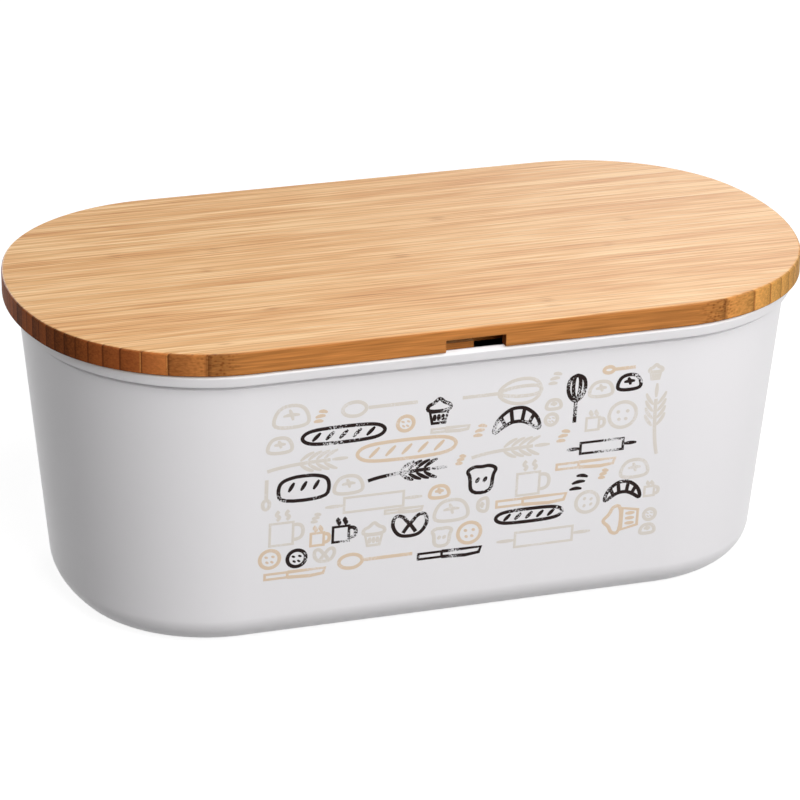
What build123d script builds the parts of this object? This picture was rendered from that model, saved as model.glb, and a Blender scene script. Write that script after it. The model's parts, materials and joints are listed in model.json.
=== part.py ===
"""Oval bread box: a moulded melamine tub under a lift-off lid of edge-glued bamboo strips.

Millimetres, +X along the length, -Y the front with the air notch, +Z up, origin at the
middle of the base.
"""

import os
from math import cos, radians, sin, tan

from build123d import *

# Plan outline of the lid: straight sides, then a corner arc, an end arc and a corner arc
LID_LENGTH = 340.0
LID_WIDTH = 182.8
END_RADIUS = 126.0
CORNER_TURN = 73.0

# Lid board
FLANGE_THICKNESS = 9.8
STEP_DEPTH = 5.0
STEP_CLEARANCE = 1.0
TOP_ARRIS = 1.0
STRIP_COUNT = 35
EDGE_STRIP_WIDTH = 2.3

# Air notch in the underside of the lid's front edge
NOTCH_WIDTH = 25.4
NOTCH_HEIGHT = 5.4
NOTCH_LENGTH = 21.0
NOTCH_CORNER = 2.0

# Tub rim, from the lid's outline inwards and from the rim's top down
TUB_HEIGHT = 127.7
LID_OVERHANG = 2.0
RIM_WIDTH = 3.9
RIM_ARRIS = 0.8
LIP_HEIGHT = 2.4
COVE_DEPTH = 2.9
BAND_LAND = 0.9
BAND_HEIGHT = 6.9
BAND_STEP = 1.7
MOUTH_DEPTH = 7.0

# Tub wall, floor and foot ring
WALL = 2.8
DRAFT_ANGLE = 5.3
BASE_RADIUS = 14.0
FLOOR_THICKNESS = 3.0
FOOT_HEIGHT = 1.0
FOOT_WIDTH = 5.0

# Arcs of the outline, tangent to the straight sides and to each other
corner_radius = (LID_WIDTH / 2 - END_RADIUS * cos(radians(CORNER_TURN))) / (1 - cos(radians(CORNER_TURN)))
end_turn = 2 * (90 - CORNER_TURN)
half_straight = LID_LENGTH / 2 - END_RADIUS + (END_RADIUS - corner_radius) * sin(radians(CORNER_TURN))

# Insets of the tub's faces from the lid's outline
slope = tan(radians(DRAFT_ANGLE))
band_inset = LID_OVERHANG + COVE_DEPTH
wall_inset = band_inset + BAND_STEP
wall_top = TUB_HEIGHT - BAND_HEIGHT
base_inset = wall_inset + wall_top * slope
foot_inset = base_inset + BASE_RADIUS * tan(radians((90 - DRAFT_ANGLE) / 2))
floor_inset = foot_inset + 2 * FOOT_WIDTH
floor_top = FOOT_HEIGHT + FLOOR_THICKNESS
mouth_bottom = TUB_HEIGHT - MOUTH_DEPTH
mouth_inset = wall_inset + WALL + (wall_top - mouth_bottom) * slope
inner_corner_inset = wall_inset + WALL + (wall_top - floor_top) * slope
step_inset = mouth_inset + STEP_CLEARANCE


def draw_outline(inset):
    """Draw the closed oval, moved inwards by inset, from the middle of the front side."""
    front = -LID_WIDTH / 2 + inset
    last = Line((0, front), (half_straight, front))
    start = last @ 0
    for side in (1, -1):
        for radius, turn in ((corner_radius, CORNER_TURN), (END_RADIUS, end_turn), (corner_radius, CORNER_TURN)):
            last = JernArc(last @ 1, last % 1, radius - inset, turn)
        if side > 0:
            last = Line(last @ 1, (-half_straight, -front))
    Line(last @ 1, start)


def at(inset, height):
    """Point of the front wall's section, inset from the lid's outline."""
    return (-LID_WIDTH / 2 + inset, height)


with BuildPart() as tub:
    with BuildLine(Plane.XY) as rim_path:
        draw_outline(0)
    with BuildSketch(Plane.YZ) as wall_section:
        with BuildLine() as wall_line:
            # Tapered outer wall, rounded into the foot ring
            outer = FilletPolyline(
                at(wall_inset, wall_top),
                at(base_inset, 0),
                at(foot_inset + FOOT_WIDTH, 0),
                radius=BASE_RADIUS,
            )
            Polyline(
                outer @ 1,
                at(foot_inset + FOOT_WIDTH, FOOT_HEIGHT),
                at(floor_inset, FOOT_HEIGHT),
                at(floor_inset, floor_top),
            )
            # Floor and inner wall
            inner = FilletPolyline(
                at(floor_inset, floor_top),
                at(inner_corner_inset, floor_top),
                at(mouth_inset, mouth_bottom),
                radius=BASE_RADIUS - WALL,
            )
            # Flared mouth that guides the lid's step, rim top and lip
            Polyline(
                inner @ 1,
                at(LID_OVERHANG + RIM_WIDTH, TUB_HEIGHT),
                at(LID_OVERHANG, TUB_HEIGHT),
                at(LID_OVERHANG, TUB_HEIGHT - LIP_HEIGHT),
            )
            # Cove, plain land and the small step in to the wall
            TangentArc(
                at(band_inset, wall_top + BAND_LAND),
                at(LID_OVERHANG, TUB_HEIGHT - LIP_HEIGHT),
                tangent=(0, 1),
            )
            Polyline(at(band_inset, wall_top + BAND_LAND), at(band_inset, wall_top), outer @ 0)
        make_face()
        chamfer(wall_section.vertices().group_by(Axis.Y)[-1], length=RIM_ARRIS)
    sweep()
    with BuildSketch(Plane.XY.offset(FOOT_HEIGHT)) as floor_outline:
        with BuildLine():
            draw_outline(floor_inset)
        make_face()
    extrude(amount=FLOOR_THICKNESS)

tub.part.label = "tub"

# The whole board is shaped first and then parted into its strips
with BuildPart() as board:
    with BuildSketch(Plane.XY.offset(TUB_HEIGHT)) as flange_outline:
        with BuildLine():
            draw_outline(0)
        make_face()
    extrude(amount=FLANGE_THICKNESS)
    chamfer(board.edges().group_by(Axis.Z)[-1], length=TOP_ARRIS)
    with BuildSketch(Plane.XY.offset(TUB_HEIGHT)) as step_outline:
        with BuildLine():
            draw_outline(step_inset)
        make_face()
    extrude(amount=-STEP_DEPTH)
    with BuildSketch(Plane.XY.offset(TUB_HEIGHT - STEP_DEPTH)) as notch_outline:
        with Locations((0, -LID_WIDTH / 2)):
            RectangleRounded(NOTCH_WIDTH, 2 * NOTCH_LENGTH, NOTCH_CORNER)
    extrude(amount=STEP_DEPTH + NOTCH_HEIGHT, mode=Mode.SUBTRACT)

# Equal strips, of which the outline leaves only a narrow one along each long side
strip_width = (LID_WIDTH - 2 * EDGE_STRIP_WIDTH) / (STRIP_COUNT - 2)
strips = []
for number in range(1, STRIP_COUNT + 1):
    middle = (number - (STRIP_COUNT + 1) / 2) * strip_width
    with BuildPart() as strip:
        add(board.part)
        with Locations((0, middle, TUB_HEIGHT)):
            Box(
                LID_LENGTH + 2 * strip_width,
                strip_width,
                2 * (STEP_DEPTH + FLANGE_THICKNESS),
                mode=Mode.INTERSECT,
            )
    strip.part.label = f"lid_strip_{number:02d}"
    strips.append(strip.part)

os.makedirs("parts", exist_ok=True)
for piece in [tub.part] + strips:
    export_step(piece, f"parts/{piece.label}.step")
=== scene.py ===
"""Looks of an oval bread box: a moulded melamine tub under a board of edge-glued bamboo strips.

Metres throughout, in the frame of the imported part: +X along the length, -Y the front with the
air notch, +Z up, origin at the middle of the base.
"""

from __future__ import annotations

import json
import logging
import math
import random
from dataclasses import dataclass, field, replace
from enum import Enum
from functools import cache, partial
from typing import Callable, Iterable, Iterator, Sequence

import bmesh
import bpy
from mathutils import Matrix, Vector

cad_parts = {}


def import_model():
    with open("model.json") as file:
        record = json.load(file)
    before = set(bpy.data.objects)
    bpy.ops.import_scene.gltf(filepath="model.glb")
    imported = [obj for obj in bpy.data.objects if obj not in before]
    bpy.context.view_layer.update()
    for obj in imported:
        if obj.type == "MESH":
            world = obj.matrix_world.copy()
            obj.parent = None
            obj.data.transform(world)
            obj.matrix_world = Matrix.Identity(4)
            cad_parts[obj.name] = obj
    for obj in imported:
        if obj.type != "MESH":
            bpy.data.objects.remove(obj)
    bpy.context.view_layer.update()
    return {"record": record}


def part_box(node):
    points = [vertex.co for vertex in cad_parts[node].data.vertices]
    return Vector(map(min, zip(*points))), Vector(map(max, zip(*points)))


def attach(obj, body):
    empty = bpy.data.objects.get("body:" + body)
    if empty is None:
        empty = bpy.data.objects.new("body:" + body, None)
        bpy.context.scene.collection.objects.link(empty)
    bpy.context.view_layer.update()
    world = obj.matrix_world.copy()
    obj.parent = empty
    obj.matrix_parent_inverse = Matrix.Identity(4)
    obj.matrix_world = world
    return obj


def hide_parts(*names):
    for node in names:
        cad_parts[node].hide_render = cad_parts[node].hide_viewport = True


LOG = logging.getLogger("bread_box")
MM = 0.001
IMAGE_SIDE = 800
WELD = 0.01 * MM
SHARP = math.radians(35)

AddNode = Callable[..., bpy.types.Node]
Point = tuple[float, float, float]

# A range holds the limits of a value and, where that isn't 0 and 1, what they turn into
Range = tuple[float, ...]
RANGE = ("From Min", "From Max", "To Min", "To Max")


class Body(Enum):
    """Bodies of the part that pieces ride on."""

    TUB = "tub"
    LID = "lid"


class Slot(Enum):
    """Material slots of the part's record."""

    MELAMINE = "melamine"
    BAMBOO = "bamboo"


def linear(hex_colour: str) -> tuple[float, float, float, float]:
    """Turn an sRGB hex colour into the linear colour that a shader socket takes.

    Args:
        hex_colour: Six hex digits, with or without a leading hash.

    Returns:
        Red, green, blue and an alpha of 1.
    """
    digits = hex_colour.lstrip("#")
    channels = [int(digits[i : i + 2], 16) / 255 for i in (0, 2, 4)]
    red, green, blue = [c / 12.92 if c <= 0.04045 else ((c + 0.055) / 1.055) ** 2.4 for c in channels]
    return (red, green, blue, 1.0)


def add_node(
    tree: bpy.types.NodeTree, kind: str, settings: dict | None = None, inputs: dict | None = None
) -> bpy.types.Node:
    """Add a node with its settings and links.

    Args:
        tree: Node tree that takes the node.
        kind: Blender's name of the node type.
        settings: Attributes to set on the node.
        inputs: Input name or number to a value, or to the socket that feeds it.

    Returns:
        The new node.
    """
    node = tree.nodes.new(kind)
    for name, value in (settings or {}).items():
        setattr(node, name, value)
    for key, value in (inputs or {}).items():
        if isinstance(value, bpy.types.NodeSocket):
            tree.links.new(value, node.inputs[key])
        else:
            node.inputs[key].default_value = value
    return node


def new_material(name: str) -> tuple[bpy.types.Material, bpy.types.NodeTree]:
    """Make a material with an empty node tree.

    Args:
        name: Name of the material.

    Returns:
        The material and its tree.
    """
    material = bpy.data.materials.new(name)
    material.use_nodes = True
    material.node_tree.nodes.clear()
    return material, material.node_tree


def new_piece(name: str, bm: bmesh.types.BMesh) -> bpy.types.Object:
    """Turn a finished bmesh into an object at the origin and free the bmesh.

    Args:
        name: Name of the piece.
        bm: Its mesh, in place.

    Returns:
        The linked object.
    """
    mesh = bpy.data.meshes.new(name)
    bm.to_mesh(mesh)
    bm.free()
    piece = bpy.data.objects.new(name, mesh)
    bpy.context.scene.collection.objects.link(piece)
    return piece


def smooth(piece: bpy.types.Object) -> None:
    """Shade a piece smooth, keep its sharp edges, and let its flat faces stay flat.

    Args:
        piece: Piece to shade.
    """
    piece.data.shade_smooth()
    piece.data.set_sharp_from_angle(angle=SHARP)
    weights = piece.modifiers.new("flat_faces", "WEIGHTED_NORMAL")
    weights.keep_sharp = True


@dataclass(frozen=True)
class Corner:
    """Corner of a section: how far in from the lid's outline, its height, and its rounding."""

    inset: float
    height: float
    radius: float = 0.0
    segments: int = 4


@dataclass(frozen=True)
class Oval:
    """Plan outline shared by lid and tub: straight sides, corner arcs and end arcs, all tangent."""

    length: float
    width: float
    end_radius: float = 126.0 * MM
    corner_turn: float = math.radians(73)
    corner_steps: int = 36
    end_steps: int = 18

    @property
    def corner_radius(self) -> float:
        """Radius of the four corner arcs."""
        share = math.cos(self.corner_turn)
        return (self.width / 2 - self.end_radius * share) / (1 - share)

    @property
    def half_straight(self) -> float:
        """Half the length of a straight side."""
        reach = (self.end_radius - self.corner_radius) * math.sin(self.corner_turn)
        return self.length / 2 - self.end_radius + reach

    def draw_section(self, bm: bmesh.types.BMesh, corners: Sequence[Corner]) -> list[bmesh.types.BMEdge]:
        """Draw a section across the middle of the front side and round its corners.

        Args:
            bm: Mesh that takes the section.
            corners: Its corners in order, the first and last of them unrounded.

        Returns:
            The edges of the rounded section.
        """
        points = [Vector((0, -self.width / 2 + c.inset, c.height)) for c in corners]
        verts = [bm.verts.new(p) for p in points]
        for pair in zip(verts, verts[1:]):
            bm.edges.new(pair)
        for number, corner in enumerate(corners):
            if corner.radius:
                here = points[number]
                turn = (here - points[number - 1]).angle(points[number + 1] - here)
                bmesh.ops.bevel(
                    bm,
                    geom=[verts[number]],
                    offset=corner.radius * math.tan(turn / 2),
                    offset_type="OFFSET",
                    segments=corner.segments,
                    profile=0.5,
                    affect="VERTICES",
                    material=-1,
                )
        return list(bm.edges)

    def carry(self, bm: bmesh.types.BMesh, edges: Sequence[bmesh.types.BMEdge]) -> None:
        """Carry a section once round the oval and weld it to its start.

        Args:
            bm: Mesh that holds the section.
            edges: Edges of the section, across the middle of the front side.
        """
        corner_y = self.width / 2 - self.corner_radius
        end_x = self.length / 2 - self.end_radius
        end_turn = math.pi - 2 * self.corner_turn
        right = [
            ((self.half_straight, -corner_y, 0), self.corner_turn, self.corner_steps),
            ((end_x, 0, 0), end_turn, self.end_steps),
            ((self.half_straight, corner_y, 0), self.corner_turn, self.corner_steps),
        ]
        left = [((-x, -y, 0), turn, steps) for (x, y, _), turn, steps in right]
        for along, arcs in ((self.half_straight, right), (-2 * self.half_straight, left)):
            edges = self._run(bm, edges, along)
            for centre, turn, steps in arcs:
                spun = bmesh.ops.spin(
                    bm,
                    geom=[*dict.fromkeys(v for e in edges for v in e.verts), *edges],
                    cent=centre,
                    axis=(0, 0, 1),
                    angle=turn,
                    steps=steps,
                    use_merge=False,
                    use_duplicate=False,
                )
                edges = [g for g in spun["geom_last"] if isinstance(g, bmesh.types.BMEdge)]
        self._run(bm, edges, self.half_straight)
        bmesh.ops.remove_doubles(bm, verts=bm.verts, dist=WELD)

    @staticmethod
    def _run(
        bm: bmesh.types.BMesh, edges: Sequence[bmesh.types.BMEdge], along: float
    ) -> list[bmesh.types.BMEdge]:
        """Carry a section straight along X.

        Args:
            bm: Mesh that holds the section.
            edges: Edges of the section.
            along: How far it goes.

        Returns:
            The edges at the end of the run.
        """
        grown = bmesh.ops.extrude_edge_only(bm, edges=list(edges))["geom"]
        ends = [g for g in grown if isinstance(g, bmesh.types.BMVert)]
        bmesh.ops.translate(bm, verts=ends, vec=(along, 0, 0))
        return [g for g in grown if isinstance(g, bmesh.types.BMEdge)]

    def solid(self, corners: Sequence[Corner]) -> bmesh.types.BMesh:
        """Make a closed mesh: a section carried round the oval, with its two openings filled.

        Args:
            corners: Corners of the section, from one opening to the other.

        Returns:
            The mesh, with its faces pointing outwards.
        """
        bm = bmesh.new()
        self.carry(bm, self.draw_section(bm, corners))
        close(bm)
        return bm


def close(bm: bmesh.types.BMesh) -> None:
    """Fill every open loop of a mesh and point all faces outwards."""
    bmesh.ops.holes_fill(bm, edges=[e for e in bm.edges if e.is_boundary], sides=0)
    bmesh.ops.recalc_face_normals(bm, faces=bm.faces)


@dataclass(frozen=True)
class MelamineFinish:
    """White melamine, compression moulded: a hard even white with a soft gloss."""

    colour: str = "#E9E7E9"
    ior: float = 1.5
    specular_level: float = 0.2
    roughness: float = 0.3
    ripple_spacing: float = 12.0 * MM
    ripple_height: float = 0.006 * MM

    def make(self, name: str) -> bpy.types.Material:
        """Build the material.

        Args:
            name: Name of the material.

        Returns:
            The material.
        """
        material, tree = new_material(name)
        place = add_node(tree, "ShaderNodeTexCoord").outputs["Object"]
        ripple = add_node(
            tree,
            "ShaderNodeTexNoise",
            inputs={"Vector": place, "Scale": 1 / self.ripple_spacing, "Detail": 1.0},
        )
        bump = add_node(
            tree,
            "ShaderNodeBump",
            inputs={"Height": ripple.outputs["Fac"], "Strength": 1.0, "Distance": self.ripple_height},
        )
        shader = add_node(
            tree,
            "ShaderNodeBsdfPrincipled",
            inputs={
                "Base Color": linear(self.colour),
                "Roughness": self.roughness,
                "IOR": self.ior,
                "Specular IOR Level": self.specular_level,
                "Normal": bump.outputs["Normal"],
            },
        )
        add_node(tree, "ShaderNodeOutputMaterial", inputs={"Surface": shader.outputs["BSDF"]})
        return material


@dataclass(frozen=True)
class InkFinish:
    """Screen-printed ink under the melamine's gloss, broken by small flecks where it didn't take."""

    ink: str
    flecked: float
    ground: str = MelamineFinish.colour
    fleck_size: float = 0.7 * MM
    patch_size: float = 9.8 * MM
    bare_range: Range = (0.33, 0.38)
    ior: float = MelamineFinish.ior
    specular_level: float = 0.15
    roughness: float = 0.34

    def make(self, name: str) -> bpy.types.Material:
        """Build the material.

        Args:
            name: Name of the material.

        Returns:
            The material.
        """
        material, tree = new_material(name)
        place = add_node(tree, "ShaderNodeTexCoord").outputs["Object"]
        flecks = add_node(
            tree,
            "ShaderNodeTexNoise",
            inputs={"Vector": place, "Scale": 1 / self.fleck_size, "Detail": 2.0, "Roughness": 0.6},
        )
        patches = add_node(
            tree,
            "ShaderNodeTexNoise",
            inputs={"Vector": place, "Scale": 1 / self.patch_size, "Detail": 0.0},
        )
        worn = add_node(
            tree,
            "ShaderNodeMath",
            {"operation": "MULTIPLY"},
            {0: flecks.outputs["Fac"], 1: patches.outputs["Fac"]},
        )
        bare = add_node(
            tree,
            "ShaderNodeMapRange",
            inputs={
                "Value": worn.outputs[0],
                "To Max": self.flecked,
                **dict(zip(RANGE, self.bare_range)),
            },
        )
        colour = add_node(
            tree,
            "ShaderNodeMix",
            {"data_type": "RGBA"},
            {"Factor": bare.outputs[0], "A": linear(self.ink), "B": linear(self.ground)},
        )
        shader = add_node(
            tree,
            "ShaderNodeBsdfPrincipled",
            inputs={
                "Base Color": colour.outputs["Result"],
                "Roughness": self.roughness,
                "IOR": self.ior,
                "Specular IOR Level": self.specular_level,
            },
        )
        add_node(tree, "ShaderNodeOutputMaterial", inputs={"Surface": shader.outputs["BSDF"]})
        return material


@dataclass(frozen=True)
class Grain:
    """One scale of the bamboo's grain, and its share in the tone of the top and of the sides."""

    length: float
    width: float
    detail: float
    on_top: float
    on_sides: float


@dataclass(frozen=True)
class StripSockets:
    """What the bamboo's layers read: a point's place and facing, and its strip's grain and chances."""

    coord: bpy.types.Node
    place: bpy.types.Node
    facing: bpy.types.Node
    chances: bpy.types.Node
    backwards: bpy.types.NodeSocket
    endwise: bpy.types.NodeSocket
    on_side: bpy.types.NodeSocket
    grains: list[bpy.types.NodeSocket]


@dataclass(frozen=True)
class BambooFinish:
    """Carbonised bamboo on edge, sanded and oiled: straight fibres, faint nodes, dotted end grain.

    The ranges of facing are read from the normal: along X for the board's ends, along Z for its top.
    """

    pitch: float
    tones: tuple[tuple[float, str], ...] = (
        (0.0, "#AD6D38"),
        (0.3, "#D19359"),
        (0.6, "#E6B37B"),
        (1.0, "#FBD5A3"),
    )
    edge: str = "#C07D42"
    lit_end_tone: str = "#C08D4B"
    shaded_end_tone: str = "#8A4A24"
    node: str = "#B37540"
    fibre: str = "#6B3515"
    glue: str = "#401E0E"

    # Grain, and how it tints the sanded top
    wave_length: float = 28.0 * MM
    wave_height: float = 1.1 * MM
    grain_shift: float = 0.737
    grain_relief: float = 0.05 * MM
    top_level: float = -0.61
    top_variety: float = 0.22
    side_facing: Range = (0.92, 0.72)

    # Nodes of the cane
    node_reach: float = 170.0 * MM
    node_length: float = 10.0 * MM
    node_raggedness: float = 16.0 * MM
    node_fibres: Range = (0.56, 0.42, 0.0, 0.62)
    noded_share: float = 0.5

    # Sides and ends, which took more oil; the left end is painted darker as shade and the right end paler
    # as light
    end_facing: Range = (0.1, 0.6)
    end_light_facing: Range = (-0.3, 0.3)
    side_level: float = 0.29
    side_variety: Range = (-0.3, 0.3, 0.85, 0.35)
    back_density: float = -0.4

    # Glue between the strips, and painted shade along the lower arris, where it faces down
    glue_place: Range = (0.42, 0.485)
    glue_on_top: float = 0.4
    glue_on_sides: Range = (-0.45, -0.2, 0.5, 0.25)
    arris_shade_facing: float = 0.55
    arris_shade_spread: Range = (0.5, 0.3, 0.0, 0.35)

    # Bundles of fibre: real ones lie about 0.5 mm apart, these are coarser so that they show
    dot_spacing: float = 1.3 * MM
    dot_stretch: float = 0.7
    dot_outline: Range = (0.5, 0.15)
    dot_depth: float = 0.7
    cut_across: Range = (0.06, 0.16)
    cut_aslant: Range = (0.23, 0.35, 1.0, 0.1)

    roughness: float = 0.5
    ior: float = 1.45
    specular_level: float = 0.25
    cut_specular_level: float = 0.03
    seed: float = 7.0

    @property
    def patch_width(self) -> float:
        """Width of a broad patch of one tone."""
        return 3 * self.pitch

    @property
    def grains(self) -> tuple[Grain, ...]:
        """Streaks, single fibres and broad patches."""
        return (
            Grain(62.0 * MM, 1.35 * MM, detail=2.0, on_top=1.2, on_sides=0.4),
            Grain(24.0 * MM, 0.7 * MM, detail=1.0, on_top=0.8, on_sides=0.85),
            Grain(62.0 * MM, self.patch_width, detail=0.0, on_top=0.25, on_sides=0.2),
        )

    def make(self, name: str) -> bpy.types.Material:
        """Build the material, all of it from object coordinates.

        Args:
            name: Name of the material.

        Returns:
            The material.
        """
        material, tree = new_material(name)
        add = partial(add_node, tree)
        strip = self._read_strip(add)
        colour = self._top_colour(add, strip)
        layers = (
            (self._node_mask(add, strip), linear(self.node)),
            (strip.on_side, self._side_colour(add, strip)),
            (self._glue_mask(add, strip), linear(self.glue)),
            # The glue's colour also paints the shade along the lower arris
            (self._lower_arris_shade_mask(add, strip), linear(self.glue)),
            (self._dot_mask(add, strip), linear(self.fibre)),
        )
        for mask, tint in layers:
            layered = add("ShaderNodeMix", {"data_type": "RGBA"}, {"Factor": mask, "A": colour, "B": tint})
            colour = layered.outputs["Result"]
        bump = add(
            "ShaderNodeBump",
            inputs={"Height": strip.grains[0], "Strength": 0.5, "Distance": self.grain_relief},
        )
        shader = add(
            "ShaderNodeBsdfPrincipled",
            inputs={
                "Base Color": colour,
                "Roughness": self.roughness,
                "IOR": self.ior,
                "Specular IOR Level": self.specular_level,
                "Normal": bump.outputs["Normal"],
            },
        )
        add("ShaderNodeOutputMaterial", inputs={"Surface": shader.outputs["BSDF"]})
        return material

    def _read_strip(self, add: AddNode) -> StripSockets:
        """Find each point's strip, its place and facing there, and the strip's grain and chances.

        Args:
            add: Adds a node to the material's tree.

        Returns:
            The sockets that the layers read.
        """
        coord = add("ShaderNodeTexCoord")
        place = add("ShaderNodeSeparateXYZ", inputs={0: coord.outputs["Object"]})
        facing = add("ShaderNodeSeparateXYZ", inputs={0: coord.outputs["Normal"]})
        lane = add(
            "ShaderNodeMath",
            {"operation": "MULTIPLY_ADD"},
            {0: place.outputs["Y"], 1: 1 / self.pitch, 2: 0.5},
        )
        number = add("ShaderNodeMath", {"operation": "FLOOR"}, {0: lane.outputs[0]})
        across = add("ShaderNodeMath", {"operation": "FRACT"}, {0: lane.outputs[0]})
        backwards = add("ShaderNodeMath", {"operation": "SUBTRACT"}, {0: across.outputs[0], 1: 0.5})
        draw = add("ShaderNodeMath", {"operation": "ADD"}, {0: number.outputs[0], 1: self.seed})
        chance = add("ShaderNodeTexWhiteNoise", {"noise_dimensions": "1D"}, {"W": draw.outputs[0]})
        upright = add("ShaderNodeMath", {"operation": "ABSOLUTE"}, {0: facing.outputs["Z"]})
        endwise = add("ShaderNodeMath", {"operation": "ABSOLUTE"}, {0: facing.outputs["X"]})
        on_side = add(
            "ShaderNodeMapRange", inputs={"Value": upright.outputs[0], **dict(zip(RANGE, self.side_facing))}
        )
        return StripSockets(
            coord=coord,
            place=place,
            facing=facing,
            chances=add("ShaderNodeSeparateColor", inputs={0: chance.outputs["Color"]}),
            backwards=backwards.outputs[0],
            endwise=endwise.outputs[0],
            on_side=on_side.outputs[0],
            grains=self._lay_grain(add, place, number),
        )

    def _lay_grain(
        self, add: AddNode, place: bpy.types.Node, number: bpy.types.Node
    ) -> list[bpy.types.NodeSocket]:
        """Lay the grain along X, weaving a little, and start it elsewhere on each strip.

        Args:
            add: Adds a node to the material's tree.
            place: Gives a point's place.
            number: Gives the number of its strip.

        Returns:
            The level of each scale of the grain.
        """
        along = add(
            "ShaderNodeMath",
            {"operation": "MULTIPLY_ADD"},
            {0: number.outputs[0], 1: self.grain_shift, 2: place.outputs["X"]},
        )
        shifted = add(
            "ShaderNodeCombineXYZ",
            inputs={"X": along.outputs[0], "Y": place.outputs["Y"], "Z": place.outputs["Z"]},
        )
        wave_place = add(
            "ShaderNodeVectorMath",
            {"operation": "MULTIPLY"},
            {0: shifted.outputs[0], 1: (1 / self.wave_length, 1 / self.patch_width, 1 / self.patch_width)},
        )
        wave = add(
            "ShaderNodeTexNoise",
            inputs={"Vector": wave_place.outputs[0], "Scale": 1.0, "Detail": 1.0},
        )
        sway = add(
            "ShaderNodeMath",
            {"operation": "MULTIPLY_ADD"},
            {0: wave.outputs["Fac"], 1: self.wave_height, 2: place.outputs["Y"]},
        )
        woven = add(
            "ShaderNodeCombineXYZ",
            inputs={"X": along.outputs[0], "Y": sway.outputs[0], "Z": place.outputs["Z"]},
        )
        levels = []
        for grain in self.grains:
            scaled = add(
                "ShaderNodeVectorMath",
                {"operation": "MULTIPLY"},
                {0: woven.outputs[0], 1: (1 / grain.length, 1 / grain.width, 1 / grain.width)},
            )
            noise = add(
                "ShaderNodeTexNoise",
                inputs={"Vector": scaled.outputs[0], "Scale": 1.0, "Detail": grain.detail},
            )
            levels.append(noise.outputs["Fac"])
        return levels

    def _top_colour(self, add: AddNode, strip: StripSockets) -> bpy.types.NodeSocket:
        """Colour the sanded top: each strip has its own tone, streaked by the grain.

        Args:
            add: Adds a node to the material's tree.
            strip: What the layers read.

        Returns:
            The colour.
        """
        tone = add(
            "ShaderNodeMath",
            {"operation": "MULTIPLY_ADD"},
            {0: strip.chances.outputs["Red"], 1: self.top_variety, 2: self.top_level},
        )
        for grain, level in zip(self.grains, strip.grains):
            tone = add(
                "ShaderNodeMath",
                {"operation": "MULTIPLY_ADD"},
                {0: level, 1: grain.on_top, 2: tone.outputs[0]},
            )
        ramp = add("ShaderNodeValToRGB", inputs={"Fac": tone.outputs[0]})
        stops = ramp.color_ramp.elements
        stops[0].position, stops[-1].position = self.tones[0][0], self.tones[-1][0]
        stops[0].color, stops[-1].color = linear(self.tones[0][1]), linear(self.tones[-1][1])
        for position, tint in self.tones[1:-1]:
            stops.new(position).color = linear(tint)
        return ramp.outputs["Color"]

    def _node_mask(self, add: AddNode, strip: StripSockets) -> bpy.types.NodeSocket:
        """Mark where a node of the cane crosses some of the strips: short, ragged, a little darker.

        Args:
            add: Adds a node to the material's tree.
            strip: What the layers read.

        Returns:
            The mask.
        """
        away = add(
            "ShaderNodeMath",
            {"operation": "MULTIPLY_ADD"},
            {0: strip.chances.outputs["Green"], 1: -2 * self.node_reach, 2: self.node_reach},
        )
        away = add(
            "ShaderNodeMath", {"operation": "ADD"}, {0: away.outputs[0], 1: strip.place.outputs["X"]}
        )
        ragged = add(
            "ShaderNodeMath",
            {"operation": "MULTIPLY_ADD"},
            {0: strip.grains[1], 1: self.node_raggedness, 2: away.outputs[0]},
        )
        distance = add("ShaderNodeMath", {"operation": "ABSOLUTE"}, {0: ragged.outputs[0]})
        noded = add(
            "ShaderNodeMath",
            {"operation": "LESS_THAN"},
            {0: strip.chances.outputs["Blue"], 1: self.noded_share},
        )
        dark_fibre = add(
            "ShaderNodeMapRange", inputs={"Value": strip.grains[1], **dict(zip(RANGE, self.node_fibres))}
        )
        strength = add(
            "ShaderNodeMath", {"operation": "MULTIPLY"}, {0: noded.outputs[0], 1: dark_fibre.outputs[0]}
        )
        mask = add(
            "ShaderNodeMapRange",
            {"interpolation_type": "SMOOTHSTEP"},
            {
                "Value": distance.outputs[0],
                "From Min": self.node_length / 2,
                "From Max": 0.0,
                "To Max": strength.outputs[0],
            },
        )
        return mask.outputs[0]

    def _side_colour(self, add: AddNode, strip: StripSockets) -> bpy.types.NodeSocket:
        """Colour the board's sides: they took more oil, and their fibres are cut across at the ends,
        painted darker at the left end as shade and paler at the right end as light.

        Args:
            add: Adds a node to the material's tree.
            strip: What the layers read.

        Returns:
            The colour.
        """
        facing = strip.facing.outputs["X"]
        at_end = add(
            "ShaderNodeMapRange", inputs={"Value": strip.endwise, **dict(zip(RANGE, self.end_facing))}
        )
        toward_light = add(
            "ShaderNodeMapRange", inputs={"Value": facing, **dict(zip(RANGE, self.end_light_facing))}
        )
        # Painted shade and painted light: the end grain goes from dark on the left end to pale on the right
        end_grain = add(
            "ShaderNodeMix",
            {"data_type": "RGBA"},
            {"Factor": toward_light.outputs[0], "A": linear(self.shaded_end_tone), "B": linear(self.lit_end_tone)},
        )
        side = add(
            "ShaderNodeMix",
            {"data_type": "RGBA"},
            {"Factor": at_end.outputs[0], "A": linear(self.edge), "B": end_grain.outputs["Result"]},
        )
        variety = add(
            "ShaderNodeMapRange", inputs={"Value": facing, **dict(zip(RANGE, self.side_variety))}
        )
        off_mean = add(
            "ShaderNodeMath", {"operation": "SUBTRACT"}, {0: strip.chances.outputs["Red"], 1: 0.5}
        )
        level = add(
            "ShaderNodeMath",
            {"operation": "MULTIPLY_ADD"},
            {0: off_mean.outputs[0], 1: variety.outputs[0], 2: self.side_level},
        )
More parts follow.
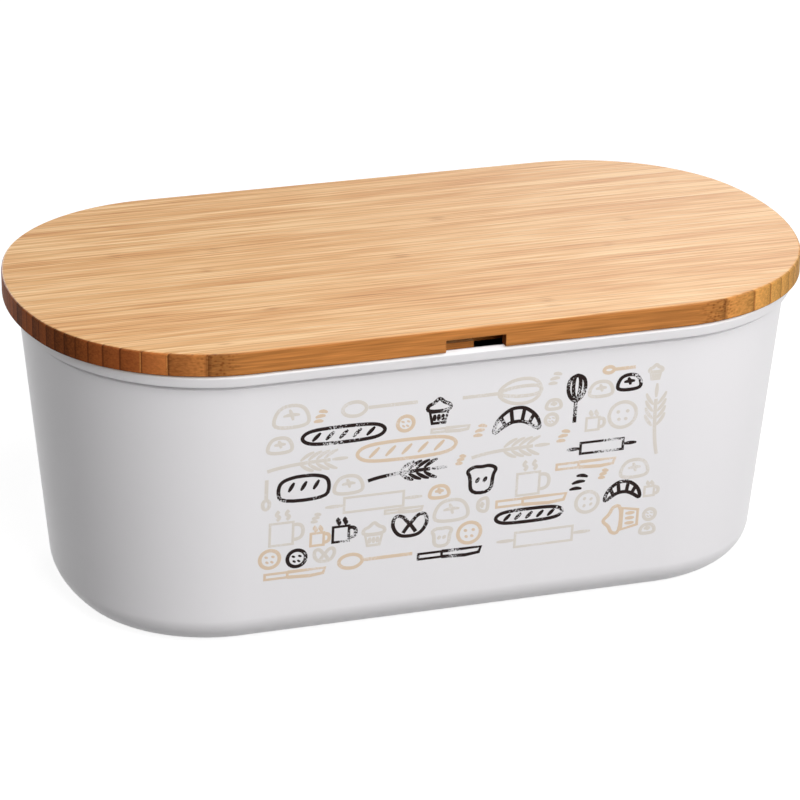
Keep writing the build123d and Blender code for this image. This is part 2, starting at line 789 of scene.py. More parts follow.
        # Fibres stand closer, and so darker, towards a strip's back, which was the cane's outer wall
        shares = [(socket, grain.on_sides) for grain, socket in zip(self.grains, strip.grains)]
        for socket, share in (*shares, (strip.backwards, self.back_density)):
            level = add(
                "ShaderNodeMath",
                {"operation": "MULTIPLY_ADD"},
                {0: socket, 1: share, 2: level.outputs[0]},
            )
        shaded = add(
            "ShaderNodeVectorMath",
            {"operation": "SCALE"},
            {0: side.outputs["Result"], "Scale": level.outputs[0]},
        )
        return shaded.outputs[0]

    def _glue_mask(self, add: AddNode, strip: StripSockets) -> bpy.types.NodeSocket:
        """Mark the glue line between strips, uneven along its length and stronger on the sides.

        Args:
            add: Adds a node to the material's tree.
            strip: What the layers read.

        Returns:
            The mask.
        """
        off_middle = add("ShaderNodeMath", {"operation": "ABSOLUTE"}, {0: strip.backwards})
        strength = add(
            "ShaderNodeMath", {"operation": "MULTIPLY"}, {0: strip.grains[0], 1: self.glue_on_top}
        )
        at_side = add(
            "ShaderNodeMapRange",
            inputs={"Value": strip.facing.outputs["X"], **dict(zip(RANGE, self.glue_on_sides))},
        )
        strength = add(
            "ShaderNodeMath",
            {"operation": "MULTIPLY_ADD"},
            {0: strip.on_side, 1: at_side.outputs[0], 2: strength.outputs[0]},
        )
        mask = add(
            "ShaderNodeMapRange",
            inputs={
                "Value": off_middle.outputs[0],
                "To Max": strength.outputs[0],
                **dict(zip(RANGE, self.glue_place)),
            },
        )
        return mask.outputs[0]

    def _lower_arris_shade_mask(self, add: AddNode, strip: StripSockets) -> bpy.types.NodeSocket:
        """Mark painted shade along the rounded lower arris, where it faces down.

        Args:
            add: Adds a node to the material's tree.
            strip: What the layers read.

        Returns:
            The mask.
        """
        off = add(
            "ShaderNodeMath",
            {"operation": "ADD"},
            {0: strip.facing.outputs["Z"], 1: self.arris_shade_facing},
        )
        off = add("ShaderNodeMath", {"operation": "ABSOLUTE"}, {0: off.outputs[0]})
        mask = add(
            "ShaderNodeMapRange", inputs={"Value": off.outputs[0], **dict(zip(RANGE, self.arris_shade_spread))}
        )
        return mask.outputs[0]

    def _dot_mask(self, add: AddNode, strip: StripSockets) -> bpy.types.NodeSocket:
        """Mark the bundles of fibre, dots where the sides cut them, most where they cut them aslant.

        Args:
            add: Adds a node to the material's tree.
            strip: What the layers read.

        Returns:
            The mask.
        """
        spacing = (self.dot_spacing / self.dot_stretch, self.dot_spacing, self.dot_spacing)
        dot_place = add(
            "ShaderNodeVectorMath",
            {"operation": "MULTIPLY"},
            {0: strip.coord.outputs["Object"], 1: tuple(1 / step for step in spacing)},
        )
        bundles = add("ShaderNodeTexVoronoi", inputs={"Vector": dot_place.outputs[0], "Scale": 1.0})
        dots, across, aslant = (
            add("ShaderNodeMapRange", inputs={"Value": value, **dict(zip(RANGE, limits))})
            for value, limits in (
                (bundles.outputs["Distance"], self.dot_outline),
                (strip.endwise, self.cut_across),
                (strip.endwise, self.cut_aslant),
            )
        )
        mask = across.outputs[0]
        for share in (aslant.outputs[0], strip.on_side, dots.outputs[0], self.dot_depth):
            mask = add("ShaderNodeMath", {"operation": "MULTIPLY"}, {0: mask, 1: share}).outputs[0]
        return mask


@dataclass
class Tub:
    """The moulded tub: sunk rounded lip, near upright band, groove, tapered wall, base and foot ring.

    Insets are measured from the lid's outline inwards and drops from the rim's top down.
    """

    oval: Oval
    height: float
    finish: MelamineFinish = field(default_factory=MelamineFinish)

    rest_inset: float = 4.9 * MM
    rest_round: float = 0.5 * MM
    lip_inset: float = 3.2 * MM
    lip_drop: float = 1.1 * MM
    lip_round: float = 1.0 * MM
    edge_inset: float = 4.0 * MM
    edge_drop: float = 5.4 * MM
    edge_round: float = 0.3 * MM
    groove_depth: float = 1.1 * MM
    groove_drop: float = 7.8 * MM
    groove_lead: float = 0.5 * MM
    groove_round: float = 0.25 * MM

    mouth_inset: float = 5.9 * MM
    mouth_round: float = 0.8 * MM
    mouth_depth: float = 7.0 * MM
    throat_round: float = 5.0 * MM

    wall: float = 2.8 * MM
    wall_drop: float = 6.9 * MM
    wall_top_inset: float = 6.6 * MM
    draft: float = math.radians(5.3)
    side_spread: float = 2.8 * MM
    base_radius: float = 14.0 * MM
    floor_thickness: float = 3.0 * MM
    foot_height: float = 1.0 * MM
    foot_width: float = 5.0 * MM
    foot_round: float = 0.4 * MM
    soft_segments: int = 6
    base_segments: int = 14

    @property
    def groove_bottom(self) -> float:
        """Height of the lower edge of the groove under the rim."""
        return self.height - self.groove_drop

    def wall_inset(self, height: float) -> float:
        """Inset of the tapered outer wall at a height."""
        return self.wall_top_inset + (self.height - self.wall_drop - height) * math.tan(self.draft)

    @property
    def base_reach(self) -> float:
        """How far the rounding of the base reaches from the wall's foot, along the wall and the floor."""
        return self.base_radius * math.tan((math.pi / 2 - self.draft) / 2)

    def corners(self) -> list[Corner]:
        """Lay out the wall's section.

        Returns:
            Its corners, from under the floor round the rim to the floor's top.
        """
        foot = self.wall_inset(0) + self.base_reach
        floor = foot + 2 * self.foot_width
        floor_top = self.foot_height + self.floor_thickness
        inner_radius = self.base_radius - self.wall
        groove = self.wall_inset(self.groove_bottom) + self.groove_depth
        edge = self.height - self.edge_drop
        throat = self.height - self.mouth_depth
        return [
            Corner(floor, self.foot_height),
            Corner(foot + self.foot_width, self.foot_height, self.foot_round),
            Corner(foot + self.foot_width, 0, self.foot_round),
            Corner(self.wall_inset(0), 0, self.base_radius, self.base_segments),
            Corner(self.wall_inset(self.groove_bottom), self.groove_bottom, self.edge_round),
            Corner(groove, self.groove_bottom + self.groove_lead, self.groove_round),
            Corner(groove, edge, self.groove_round),
            Corner(self.edge_inset, edge, self.edge_round),
            Corner(self.lip_inset, self.height - self.lip_drop, self.lip_round, self.soft_segments),
            Corner(self.rest_inset, self.height, self.rest_round),
            Corner(self.mouth_inset, self.height, self.mouth_round, self.soft_segments),
            Corner(self.wall_inset(throat) + self.wall, throat, self.throat_round, self.soft_segments),
            Corner(self.wall_inset(floor_top) + self.wall, floor_top, inner_radius, self.base_segments),
            Corner(floor, floor_top),
        ]

    def stand_out(self, across: float, height: float) -> float:
        """Move a point's Y outwards, as the long sides lean out more than the ends.

        Args:
            across: Its Y.
            height: Its height.

        Returns:
            The moved Y.
        """
        share = across / (self.oval.width / 2)
        return across + self.side_spread * share * abs(share) * height / self.height

    def front_face(self) -> tuple[float, float]:
        """Give the flat front of the wall, as it runs straight from the rounded base to the groove.

        Returns:
            Its Y, carried on down to the base, and the change of Y with height.
        """
        low = self.base_reach * math.cos(self.draft)
        high = self.groove_bottom
        start, end = (self.stand_out(self.wall_inset(z) - self.oval.width / 2, z) for z in (low, high))
        slope = (end - start) / (high - low)
        return start - slope * low, slope

    def build(self) -> None:
        """Make the tub, dress it and let it stand for its node."""
        bm = self.oval.solid(self.corners())
        for vert in bm.verts:
            vert.co.y = self.stand_out(vert.co.y, vert.co.z)
        piece = new_piece("tub_moulding", bm)
        smooth(piece)
        piece.data.materials.append(self.finish.make("moulded_melamine"))
        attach(piece, Body.TUB.value)
        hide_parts("tub")
        LOG.info("tub: %d faces", len(piece.data.polygons))


class Ink(Enum):
    """Inks of the print: a dark one over two pale ones."""

    DARK = "dark"
    TAN = "tan"
    PALE = "pale"


@dataclass(frozen=True)
class Stroke:
    """One stroke of a motif, through points in millimetres."""

    points: tuple[tuple[float, float], ...]
    closed: bool = False
    curved: bool = True
    bellied: bool = False


def cuts(count: int, pitch: float, lean: float, reach: float, level: float = 0.0) -> tuple[Stroke, ...]:
    """Draw short slanting cuts side by side, in millimetres.

    Args:
        count: How many.
        pitch: Distance from one to the next.
        lean: How far the ends lie to the sides of the middle.
        reach: How far the ends lie above and below it.
        level: Height of their middles.

    Returns:
        The cuts, full in the middle and thin at the ends.
    """
    middles = [(number - (count - 1) / 2) * pitch for number in range(count)]
    return tuple(
        Stroke(((x - lean, level - reach), (x, level), (x + lean, level + reach)), bellied=True)
        for x in middles
    )


def ear(pairs: int, pitch: float) -> tuple[Stroke, ...]:
    """Draw the grains of an ear of wheat, in millimetres: leaning pairs along X, and one at the tip.

    Args:
        pairs: How many pairs.
        pitch: Distance from one pair to the next.

    Returns:
        The grains, full in the middle and thin at the ends.
    """
    tip = tuple((number * pitch, 0) for number in range(pairs, pairs + 3))
    grains = [Stroke(tip, bellied=True)]
    for number in range(pairs):
        root = number * pitch
        for side in (-1, 1):
            bend = ((root, 0.7 * side), (root + 0.8 * pitch, 3.0 * side), (root + 1.7 * pitch, 3.8 * side))
            grains.append(Stroke(bend, bellied=True))
    return tuple(grains)


class Motif(Enum):
    """Line drawings of baked goods and kitchen tools."""

    LOAF = "loaf"
    BAGUETTE = "baguette"
    CROISSANT = "croissant"
    PRETZEL = "pretzel"
    WHEAT = "wheat"
    ROLLING_PIN = "rolling_pin"
    WHISK = "whisk"
    TOAST = "toast"
    CUPCAKE = "cupcake"
    MUG = "mug"
    BUN = "bun"
    COOKIE = "cookie"
    SPOON = "spoon"
    KNIFE = "knife"
    GRAINS = "grains"


DRAWINGS: dict[Motif, tuple[Stroke, ...]] = {
    Motif.LOAF: (
        Stroke(
            (
                *((-10, -5), (10, -5), (11.5, 0), (10.5, 5), (5, 6.8)),
                *((0, 7), (-5, 6.8), (-10.5, 5), (-11.5, 0)),
            ),
            closed=True,
        ),
        *cuts(3, 5.5, 1.2, 2.2, 2.0),
    ),
    Motif.BAGUETTE: (
        Stroke(
            (
                *((-19, 0), (-16, 3), (-8, 3.8), (8, 3.8), (16, 3)),
                *((19, 0), (16, -3), (8, -3.8), (-8, -3.8), (-16, -3)),
            ),
            closed=True,
        ),
        *cuts(5, 6.0, 1.8, 1.9),
    ),
    Motif.CROISSANT: (
        Stroke(
            (
                *((-11, -6), (-9.5, 1), (-4, 6), (0, 6.6), (4, 6), (9.5, 1)),
                *((11, -6), (6.5, -2.5), (3, -0.5), (0, -0.2), (-3, -0.5), (-6.5, -2.5)),
            ),
            closed=True,
        ),
        Stroke(((-7.6, 2.6), (-5.4, -1.8)), curved=False),
        Stroke(((-3, 5.4), (-2.2, -0.2)), curved=False),
        Stroke(((3, 5.4), (2.2, -0.2)), curved=False),
        Stroke(((7.6, 2.6), (5.4, -1.8)), curved=False),
    ),
    Motif.PRETZEL: (
        Stroke(
            (
                *((-3.2, -4.8), (-1, -1.2), (1.2, 1.2), (4, 5), (8, 5), (9, -0.5), (5.5, -6.2), (0, -7)),
                *((-5.5, -6.2), (-9, -0.5), (-8, 5), (-4, 5), (-1.2, 1.2), (1, -1.2), (3.2, -4.8)),
            )
        ),
    ),
    Motif.WHEAT: (Stroke(((-12, -2), (-5, 0), (11, 0))), *ear(4, 2.9)),
    Motif.ROLLING_PIN: (
        Stroke(((-11, -3), (11, -3), (11, 3), (-11, 3)), closed=True, curved=False),
        Stroke(((-11, 0), (-15, 0), (-18, 0)), bellied=True),
        Stroke(((11, 0), (15, 0), (18, 0)), bellied=True),
    ),
    Motif.WHISK: (
        Stroke(((-15, 0), (-2, 0)), curved=False),
        Stroke(((-3, 0), (3, 5), (12, 5), (15, 0), (12, -5), (3, -5)), closed=True),
        Stroke(((-3, 0), (4, 2), (13, 2), (15, 0), (13, -2), (4, -2)), closed=True),
    ),
    Motif.TOAST: (
        Stroke(
            ((-5, -6.5), (5, -6.5), (5, 2), (7, 5), (3.5, 7), (0, 6.4), (-3.5, 7), (-7, 5), (-5, 2)),
            closed=True,
        ),
        *cuts(2, 3.4, 0.7, 1.3),
    ),
    Motif.CUPCAKE: (
        Stroke(((-4.5, 0), (-3.2, -6), (3.2, -6), (4.5, 0)), closed=True, curved=False),
        Stroke(((-6, 0.5), (-5.6, 4), (-2.4, 5), (0, 8), (2.4, 5), (5.6, 4), (6, 0.5)), closed=True),
        *cuts(3, 2.1, 0.0, 1.8, -3.0),
    ),
    Motif.MUG: (
        Stroke(((-5, -5), (3.5, -5), (3.5, 4), (-5, 4)), closed=True, curved=False),
        Stroke(((3.5, 2.8), (7.2, 3.4), (7.2, -3.6), (3.5, -3.2))),
        Stroke(((-2.6, 5.2), (-1, 6.4), (-3.4, 7.6), (-1.8, 9))),
        Stroke(((1, 5.2), (2.6, 6.4), (0.2, 7.6), (1.8, 9))),
    ),
    Motif.BUN: (
        Stroke(
            ((-6, -3.6), (6, -3.6), (6.6, 0), (4.4, 4.4), (0, 5.4), (-4.4, 4.4), (-6.6, 0)), closed=True
        ),
        Stroke(((-3, 1), (0, 1.8), (3, 1.2)), bellied=True),
        Stroke(((-0.8, 3.6), (0.2, 1.6), (0.6, -0.8)), bellied=True),
    ),
    Motif.COOKIE: (
        Stroke(
            ((5.6, 0), (4, 4), (0, 5.6), (-4, 4), (-5.6, 0), (-4, -4), (0, -5.6), (4, -4)), closed=True
        ),
        *cuts(2, 3.6, 0.3, 0.6, 1.3),
        *cuts(2, 2.6, 0.4, 0.5, -1.8),
    ),
    Motif.SPOON: (
        Stroke(((-4, 0), (14, 0)), curved=False),
        Stroke(((-4, 0), (-7, 3), (-12, 2.6), (-14, 0), (-12, -2.6), (-7, -3)), closed=True),
    ),
    Motif.KNIFE: (
        Stroke(((-16, -1.5), (-4, -1.5), (-4, 1.5), (-16, 1.5)), closed=True, curved=False),
        Stroke(((-4, 1.5), (16, 1.5), (15, -1.5), (8, -2.2), (-4, -1.5)), curved=False),
    ),
    Motif.GRAINS: (
        Stroke(((-4, -3), (-1, -2), (2, -3)), bellied=True),
        Stroke(((-3, 0), (0, 1.4), (3.4, 0.8)), bellied=True),
        Stroke(((-1, 4), (2, 4.6), (4.6, 3)), bellied=True),
    ),
}


@cache
def extent(motif: Motif) -> tuple[tuple[float, float], tuple[float, float]]:
    """Measure a motif's drawing, in millimetres.

    Args:
        motif: The motif.

    Returns:
        Its lowest and its highest corner.
    """
    every = [point for stroke in DRAWINGS[motif] for point in stroke.points]
    low, high = ((limit(x for x, _ in every), limit(y for _, y in every)) for limit in (min, max))
    return low, high


@dataclass(frozen=True)
class Placed:
    """A motif on the wall: its middle in millimetres along X and up, its size, turn and ink."""

    motif: Motif
    x: float
    z: float
    size: float = 1.0
    upright: bool = False
    ink: Ink = Ink.DARK

    def strokes(self) -> Iterator[tuple[Stroke, list[tuple[float, float]]]]:
        """Turn, size and place the motif's drawing.

        Returns:
            Each stroke with its points on the wall, in millimetres.
        """
        low, high = extent(self.motif)
        for stroke in DRAWINGS[self.motif]:
            points = [
                ((x - (low[0] + high[0]) / 2) * self.size, (y - (low[1] + high[1]) / 2) * self.size)
                for x, y in stroke.points
            ]
            if self.upright:
                points = [(-y, x) for x, y in points]
            yield stroke, [(self.x + x, self.z + y) for x, y in points]

    def reach(self) -> tuple[float, float]:
        """Measure the placed motif.

        Returns:
            Half its width and half its height, in millimetres.
        """
        low, high = extent(self.motif)
        across, up = ((high[axis] - low[axis]) / 2 * self.size for axis in (0, 1))
        return (up, across) if self.upright else (across, up)

    def clears(self, other: Placed, gap: float) -> bool:
        """Say whether the boxes of two motifs lie apart.

        Args:
            other: The other motif.
            gap: Distance between them, in millimetres.

        Returns:
            Whether at least the gap is left along X or up the wall.
        """
        away = (abs(self.x - other.x), abs(self.z - other.z))
        reaches = zip(away, self.reach(), other.reach())
        return any(far > mine + theirs + gap for far, mine, theirs in reaches)


@dataclass
class Print:
    """A print of small line drawings on the flat front of the wall, dark ones among pale ones."""

    tub: Tub
    line_width: float = 1.65 * MM
    pale_line_width: float = 1.6 * MM
    thin_end: float = 0.5
    full_middle: float = 1.6
    thickness: float = 0.03 * MM
    curve_steps: int = 4
    middle: tuple[float, float] = (1.0, 71.0)
    half_size: tuple[float, float] = (87.0, 42.0)
    gap: float = 1.3
    sizes: tuple[float, ...] = (1.15, 0.95, 0.8, 0.65, 0.5)
    loose_grain_size: float = 0.7
    upright_share: float = 0.15
    tan_share: float = 0.4
    tries: int = 4000
    seed: int = 5
    finishes: dict[Ink, InkFinish] = field(
        default_factory=lambda: {
            Ink.DARK: InkFinish("#1C0C09", 0.85),
            Ink.TAN: InkFinish("#DCC6AE", 0.4),
            Ink.PALE: InkFinish("#DAD3CB", 0.4),
        }
    )
    dark: tuple[Placed, ...] = (
        Placed(Motif.BAGUETTE, -52, 95, 0.95),
        Placed(Motif.CUPCAKE, -12, 101, 0.85),
        Placed(Motif.CROISSANT, 22, 92, 0.95),
        Placed(Motif.WHISK, 47, 99, 0.75, upright=True),
        Placed(Motif.BUN, 70, 104, 0.8),
        Placed(Motif.LOAF, -68, 72, 0.95),
        Placed(Motif.WHEAT, -24, 74, 1.15),
        Placed(Motif.TOAST, 8, 66, 0.95),
        Placed(Motif.ROLLING_PIN, 60, 75, 0.85),
        Placed(Motif.MUG, -50, 50, 0.8),
        Placed(Motif.PRETZEL, -22, 48, 0.85),
        Placed(Motif.BAGUETTE, 30, 46, 0.8),
        Placed(Motif.CROISSANT, 71, 52, 0.75),
        Placed(Motif.KNIFE, -4, 32, 0.85),
        Placed(Motif.GRAINS, 51, 59, 0.9),
        Placed(Motif.COOKIE, -70, 39, 0.75),
    )

    def layout(self) -> list[Placed]:
        """Fill the room among the dark motifs with pale ones, each clear of all others.

        Returns:
            All motifs.
        """
        draw = random.Random(self.seed)
        placed = list(self.dark)
        for size in self.sizes:
            choices = [m for m in Motif if size < self.loose_grain_size or m is not Motif.GRAINS]
            for _ in range(self.tries):
                across, up = draw.uniform(-1, 1), draw.uniform(-1, 1)
                motif = Placed(
                    draw.choice(choices),
                    self.middle[0] + across * self.half_size[0],
                    self.middle[1] + up * self.half_size[1],
                    size,
                    draw.random() < self.upright_share,
                    Ink.TAN if draw.random() < self.tan_share else Ink.PALE,
                )
                reach = motif.reach()
                inside = all(
                    abs((motif.x, motif.z)[axis] - self.middle[axis]) + reach[axis] < self.half_size[axis]
                    for axis in (0, 1)
                )
                if inside and all(motif.clears(other, self.gap) for other in placed):
                    placed.append(motif)
        return placed

    def build(self) -> None:
        """Print every ink as a thin piece of its own, half sunk into the wall."""
        placed = self.layout()
        for ink, finish in self.finishes.items():
            piece = self._draw(ink, [motif for motif in placed if motif.ink is ink])
            piece.data.materials.append(finish.make(f"{ink.value}_ink"))
            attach(piece, Body.TUB.value)
            LOG.info("print: %s ink, %d faces", ink.value, len(piece.data.polygons))

    def _draw(self, ink: Ink, motifs: Sequence[Placed]) -> bpy.types.Object:
        """Draw motifs as lines, flatten the lines and lay them on the wall.

        Args:
            ink: The ink that they are printed in.
            motifs: The motifs.

        Returns:
            The printed piece.
        """
        lines = bpy.data.curves.new("lines", "CURVE")
        lines.dimensions = "3D"
        lines.twist_mode = "Z_UP"
        lines.resolution_u = self.curve_steps
        lines.bevel_depth = (self.line_width if ink is Ink.DARK else self.pale_line_width) / 2
        lines.bevel_resolution = 0
        lines.use_fill_caps = True
        for motif in motifs:
            for stroke, points in motif.strokes():
                spline = lines.splines.new("NURBS" if stroke.curved else "POLY")
                spline.use_smooth = False
                spline.points.add(len(points) - 1)
                for number, (point, (x, z)) in enumerate(zip(spline.points, points)):
                    point.co = (x * MM, z * MM, 0, 1)
                    at_end = number in (0, len(points) - 1)
                    if stroke.bellied:
                        point.radius = self.thin_end if at_end else self.full_middle
                spline.use_cyclic_u = stroke.closed
                spline.order_u = 3
                spline.use_endpoint_u = not stroke.closed
        drawing = bpy.data.objects.new("drawing", lines)
        bpy.context.scene.collection.objects.link(drawing)
        bpy.context.view_layer.update()
        bm = bmesh.new()
        flat = bpy.data.meshes.new_from_object(drawing.evaluated_get(bpy.context.evaluated_depsgraph_get()))
        bm.from_mesh(flat)
        bpy.data.objects.remove(drawing)
        bmesh.ops.scale(bm, verts=bm.verts, vec=(1, 1, self.thickness / lines.bevel_depth))
        bmesh.ops.transform(bm, matrix=self._wall_place(), verts=bm.verts)
        bmesh.ops.recalc_face_normals(bm, faces=bm.faces)
        return new_piece(f"print_{ink.value}", bm)

    def _wall_place(self) -> Matrix:
        """Find where the drawing lies on the wall.

        Returns:
            Its place: X along the wall, Y up it, Z out of it.
        """
        foot_y, slope = self.tub.front_face()
        up = Vector((0, slope, 1)).normalized()
        out = Vector((0, -1, slope)).normalized()
        turn = Matrix((Vector((1, 0, 0)), up, out)).transposed()
        return Matrix.Translation((0, foot_y, 0)) @ turn.to_4x4()


@dataclass
class Lid:
    """The bamboo board: strips on edge, a step that drops into the tub's mouth, and an air notch."""

    oval: Oval
    underside: float
    top: float
    mouth_inset: float
    step_depth: float
    strip_names: list[str]
    step_clearance: float = 1.0 * MM
    edge_strip_width: float = 2.3 * MM
    top_arris: float = 1.1 * MM
    top_segments: int = 6
    lower_arris: float = 0.6 * MM
    step_arris: float = 1.1 * MM
    step_segments: int = 5
    step_root: float = 0.4 * MM
    root_segments: int = 3
    notch_width: float = 25.4 * MM
    notch_shift: float = 1.0 * MM
    notch_height: float = 5.4 * MM
    notch_length: float = 21.0 * MM
    notch_corner: float = 2.0 * MM
    notch_segments: int = 6
    passage_left: float = 3.5 * MM
    passage_right: float = 20.5 * MM
    passage_inset: float = 5.0 * MM
    edge_slope: float = 0.6

    @property
    def pitch(self) -> float:
        """Width of a full strip."""
        return (self.oval.width - 2 * self.edge_strip_width) / (len(self.strip_names) - 2)

    def corners(self) -> list[Corner]:
        """Lay out the board's section.

        Returns:
            Its corners, from under the step round the edge to the top.
        """
        step = self.mouth_inset + self.step_clearance
        step_bottom = self.underside - self.step_depth
        return [
            Corner(step + 2 * self.step_arris, step_bottom),
            Corner(step, step_bottom, self.step_arris, self.step_segments),
            Corner(step, self.underside, self.step_root, self.root_segments),
            Corner(0, self.underside, self.lower_arris),
            Corner(0, self.top, self.top_arris, self.top_segments),
            Corner(2 * self.top_arris, self.top),
        ]

    def cutters(self) -> list[bpy.types.Object]:
        """Make the blocks that cut the lid.

        Returns:
            That of the air notch, and that of a passage through the step behind the notch's right part.
        """
        front = -self.oval.width / 2
        back = front + self.notch_length
        top = self.underside + self.notch_height
        left, right = (self.notch_shift + side * self.notch_width / 2 for side in (-1, 1))
        notch_low = (left, front - self.notch_length, self.underside - 2 * WELD)
        passage_low = (self.passage_left, front + self.passage_inset, self.underside - 2 * self.step_depth)
        return [
            self._cutter(notch_low, (right, back, top)),
            self._cutter(passage_low, (self.passage_right, back, top)),
        ]

    def _cutter(self, low: Point, high: Point) -> bpy.types.Object:
        """Make a block with its upright edges rounded.

        Args:
            low: Its lowest corner.
            high: Its highest corner.

        Returns:
            The block.
        """
        middle = (Vector(low) + Vector(high)) / 2
        size = Vector(high) - Vector(low)
        bm = bmesh.new()
        bmesh.ops.create_cube(bm, size=1.0)
        bmesh.ops.scale(bm, verts=bm.verts, vec=size)
        bmesh.ops.translate(bm, verts=bm.verts, vec=middle)
        upright = [e for e in bm.edges if abs(e.verts[0].co.z - e.verts[1].co.z) > size.z / 2]
        bmesh.ops.bevel(
            bm,
            geom=upright,
            offset=self.notch_corner,
            segments=self.notch_segments,
            profile=0.5,
            affect="EDGES",
            material=-1,
        )
        return new_piece("cutter", bm)

    def build(self, finish: BambooFinish) -> None:
        """Shape the whole board, part it into its strips and dress each one.

        Args:
            finish: The bamboo's finish.
        """
        board = self.oval.solid(self.corners())
        cutters = self.cutters()
        materials = (
            finish.make("edge_glued_bamboo"),
            replace(finish, specular_level=finish.cut_specular_level).make("bamboo_cut_across"),
        )
        middle = (len(self.strip_names) - 1) / 2
        for number, node in enumerate(self.strip_names):
            low = (number - middle - 0.5) * self.pitch
            bm = board.copy()
            for seam, keep in ((low, 1), (low + self.pitch, -1)):
                bmesh.ops.bisect_plane(
                    bm,
                    geom=list(bm.verts) + list(bm.edges) + list(bm.faces),
                    dist=WELD / 10,
                    plane_co=(0, seam, 0),
                    plane_no=(0, keep, 0),
                    clear_inner=True,
                )
            close(bm)
            piece = new_piece(node.replace("lid_", "bamboo_"), bm)
            if low < -self.oval.width / 2 + self.notch_length:
                for cutter in cutters:
                    self._cut(piece, cutter)
            smooth(piece)
            for material in materials:
                piece.data.materials.append(material)
            for face in piece.data.polygons:
                face.material_index = int(abs(face.normal.z) < self.edge_slope)
            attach(piece, Body.LID.value)
            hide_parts(node)
        board.free()
        for cutter in cutters:
            bpy.data.objects.remove(cutter)
        LOG.info("lid: %d strips, %.2f mm wide", len(self.strip_names), self.pitch / MM)

    @staticmethod
    def _cut(piece: bpy.types.Object, cutter: bpy.types.Object) -> None:
        """Cut a block out of a strip and keep the result as the strip's mesh.

        Args:
            piece: The strip.
            cutter: The block.
        """
        cut = piece.modifiers.new("air_notch", "BOOLEAN")
        cut.operation = "DIFFERENCE"
        cut.solver = "EXACT"
        cut.object = cutter
        bpy.context.view_layer.update()
        evaluated = piece.evaluated_get(bpy.context.evaluated_depsgraph_get())
        piece.data = bpy.data.meshes.new_from_object(evaluated)
        piece.modifiers.clear()


@dataclass(frozen=True)
class Camera:
    """Camera at the photograph's viewing angle, placed from the middle of the lid's top."""

    azimuth: float = math.radians(-17.9184)
    elevation: float = math.radians(22.9162)
    roll: float = math.radians(0.6633)
    focal_pixels: float = 3695.36
    distance: float = 1555.75 * MM
    right_of_axis: float = 1.95 * MM
    above_axis: float = 63.13 * MM
    sensor: float = 36.0
    nearest: float = 0.05
    farthest: float = 50.0

    def build(self, lid_middle: Vector) -> None:
        """Place the camera and make it the scene's.

        Args:
            lid_middle: Middle of the lid's top.
        """
        forward = Vector(
            (
                -math.sin(self.azimuth) * math.cos(self.elevation),
                math.cos(self.azimuth) * math.cos(self.elevation),
                -math.sin(self.elevation),
            )
        )
        level = Vector((math.cos(self.azimuth), math.sin(self.azimuth), 0))
        right = Matrix.Rotation(-self.roll, 3, forward) @ level
        up = right.cross(forward)
        data = bpy.data.cameras.new("camera")
        data.sensor_width = self.sensor
        data.lens = self.sensor * self.focal_pixels / IMAGE_SIDE
        data.clip_start = self.nearest
        data.clip_end = self.farthest
        camera = bpy.data.objects.new("camera", data)
        bpy.context.scene.collection.objects.link(camera)
        turn = Matrix((right, up, -forward)).transposed()
        place = lid_middle - forward * self.distance - right * self.right_of_axis - up * self.above_axis
        camera.matrix_world = Matrix.Translation(place) @ turn.to_4x4()
        bpy.context.scene.camera = camera


@dataclass(frozen=True)
class Lamp:
    """A square soft box: where it stands, where it points, its side and its power."""

    name: str
    place: Point
    side: float
    power: float
    target: Point = (0.0, 0.0, 0.07)

    def build(self) -> None:
        """Hang the soft box."""
        data = bpy.data.lights.new(self.name, "AREA")
        data.size = self.side
        data.energy = self.power
        lamp = bpy.data.objects.new(self.name, data)
        bpy.context.scene.collection.objects.link(lamp)
        aim = Vector(self.target) - Vector(self.place)
        lamp.rotation_euler = aim.to_track_quat("-Z", "Y").to_euler()
        lamp.location = self.place


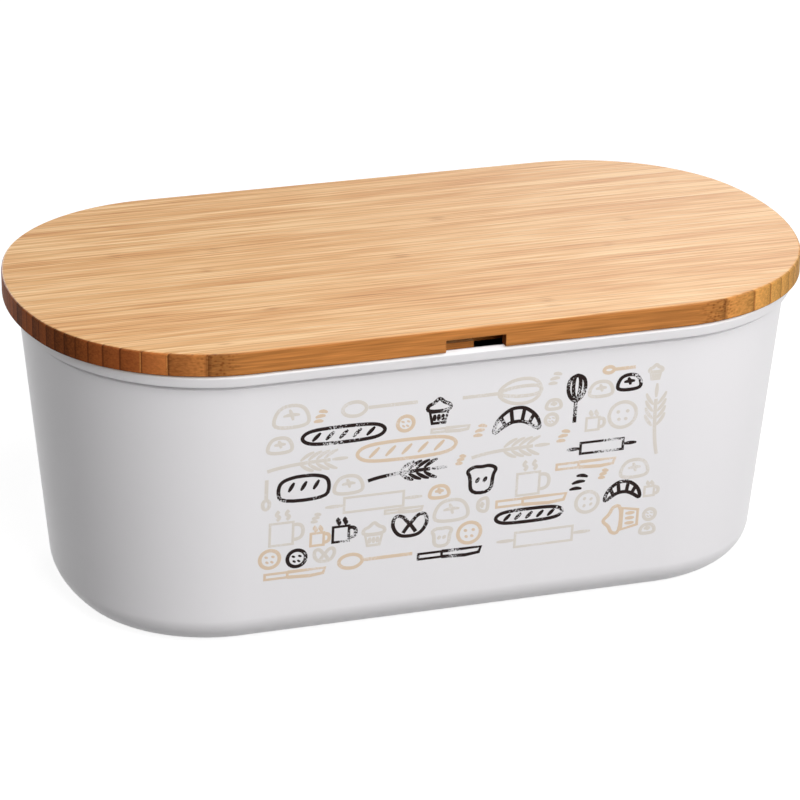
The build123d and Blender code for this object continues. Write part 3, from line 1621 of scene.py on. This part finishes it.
@dataclass(frozen=True)
class Studio:
    """Pale floor, white surroundings and soft boxes: strong ones in front, weaker ones around."""

    floor_half: float = 4.0
    floor_colour: str = "#8F8F8F"
    floor_glow: float = 0.88
    ambient: float = 0.03
    lamps: tuple[Lamp, ...] = (
        Lamp("front", (0.12, -1.38, 0.87), 0.8, 11.0),
        Lamp("front_right", (0.81, -1.16, 0.82), 0.8, 6.4),
        Lamp("right", (1.39, -0.51, 0.67), 0.8, 4.9),
        Lamp("high", (0.15, -0.83, 1.43), 0.8, 9.5),
        Lamp("left", (-1.14, -0.66, 0.99), 0.8, 5.2),
        Lamp("back_right", (0.59, 1.02, 0.62), 0.4, 3.4),
        Lamp("back", (-0.45, 1.85, 0.34), 0.5, 10.0),
    )

    def build(self) -> None:
        """Make the floor, the world and the lamps."""
        bm = bmesh.new()
        bmesh.ops.create_grid(bm, x_segments=1, y_segments=1, size=self.floor_half)
        floor = new_piece("floor", bm)
        material, tree = new_material("studio_floor")
        seen = self._seen(tree)
        matt = add_node(tree, "ShaderNodeBsdfDiffuse", inputs={"Color": linear(self.floor_colour)})
        strength = add_node(
            tree, "ShaderNodeMath", {"operation": "MULTIPLY"}, {0: seen, 1: self.floor_glow}
        )
        glow = add_node(tree, "ShaderNodeEmission", inputs={"Strength": strength.outputs[0]})
        both = add_node(tree, "ShaderNodeAddShader", inputs={0: matt.outputs[0], 1: glow.outputs[0]})
        add_node(tree, "ShaderNodeOutputMaterial", inputs={"Surface": both.outputs[0]})
        floor.data.materials.append(material)

        world = bpy.data.worlds.new("studio")
        world.use_nodes = True
        world.node_tree.nodes.clear()
        seen = self._seen(world.node_tree)
        level = add_node(
            world.node_tree,
            "ShaderNodeMapRange",
            inputs={"Value": seen, "To Min": self.ambient, "To Max": 1.0},
        )
        sky = add_node(world.node_tree, "ShaderNodeBackground", inputs={"Strength": level.outputs[0]})
        add_node(world.node_tree, "ShaderNodeOutputWorld", inputs={"Surface": sky.outputs[0]})
        bpy.context.scene.world = world
        for lamp in self.lamps:
            lamp.build()
        bpy.context.scene.view_settings.view_transform = "Standard"

    @staticmethod
    def _seen(tree: bpy.types.NodeTree) -> bpy.types.NodeSocket:
        """Tell rays from the camera, and mirrored or refracted ones, from those that light the object.

        Args:
            tree: Node tree that takes the nodes.

        Returns:
            1 on the former rays, 0 on the latter.
        """
        path = add_node(tree, "ShaderNodeLightPath")
        seen = path.outputs["Is Camera Ray"]
        for ray in ("Is Glossy Ray", "Is Transmission Ray"):
            either = add_node(
                tree, "ShaderNodeMath", {"operation": "MAXIMUM"}, {0: seen, 1: path.outputs[ray]}
            )
            seen = either.outputs[0]
        return seen


def span(nodes: Iterable[str]) -> tuple[Vector, Vector]:
    """Lowest and highest corner of several nodes of the frame.

    Args:
        nodes: Names of the nodes.

    Returns:
        The two corners.
    """
    boxes = [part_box(node) for node in nodes]
    low = Vector([min(box[0][axis] for box in boxes) for axis in range(3)])
    high = Vector([max(box[1][axis] for box in boxes) for axis in range(3)])
    return low, high


def main() -> None:
    """Build the bread box around its frame, then the studio and the camera."""
    logging.basicConfig(level=logging.INFO)
    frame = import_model()
    strip_names = sorted(frame["record"]["behaviour"]["bodies"][Body.LID.value])
    lid_low, lid_high = span(strip_names)
    _, tub_high = span(["tub"])
    oval = Oval(length=round(lid_high.x - lid_low.x, 4), width=lid_high.y - lid_low.y)
    tub = Tub(oval=oval, height=tub_high.z)
    tub.build()
    Print(tub).build()
    lid = Lid(
        oval=oval,
        underside=tub_high.z,
        top=lid_high.z,
        mouth_inset=tub.wall_inset(tub.height - tub.mouth_depth) + tub.wall,
        step_depth=tub_high.z - lid_low.z,
        strip_names=strip_names,
    )
    lid.build(BambooFinish(pitch=lid.pitch))
    Studio().build()
    Camera().build(Vector((0, 0, lid_high.z)))


if __name__ == "__main__":
    main()
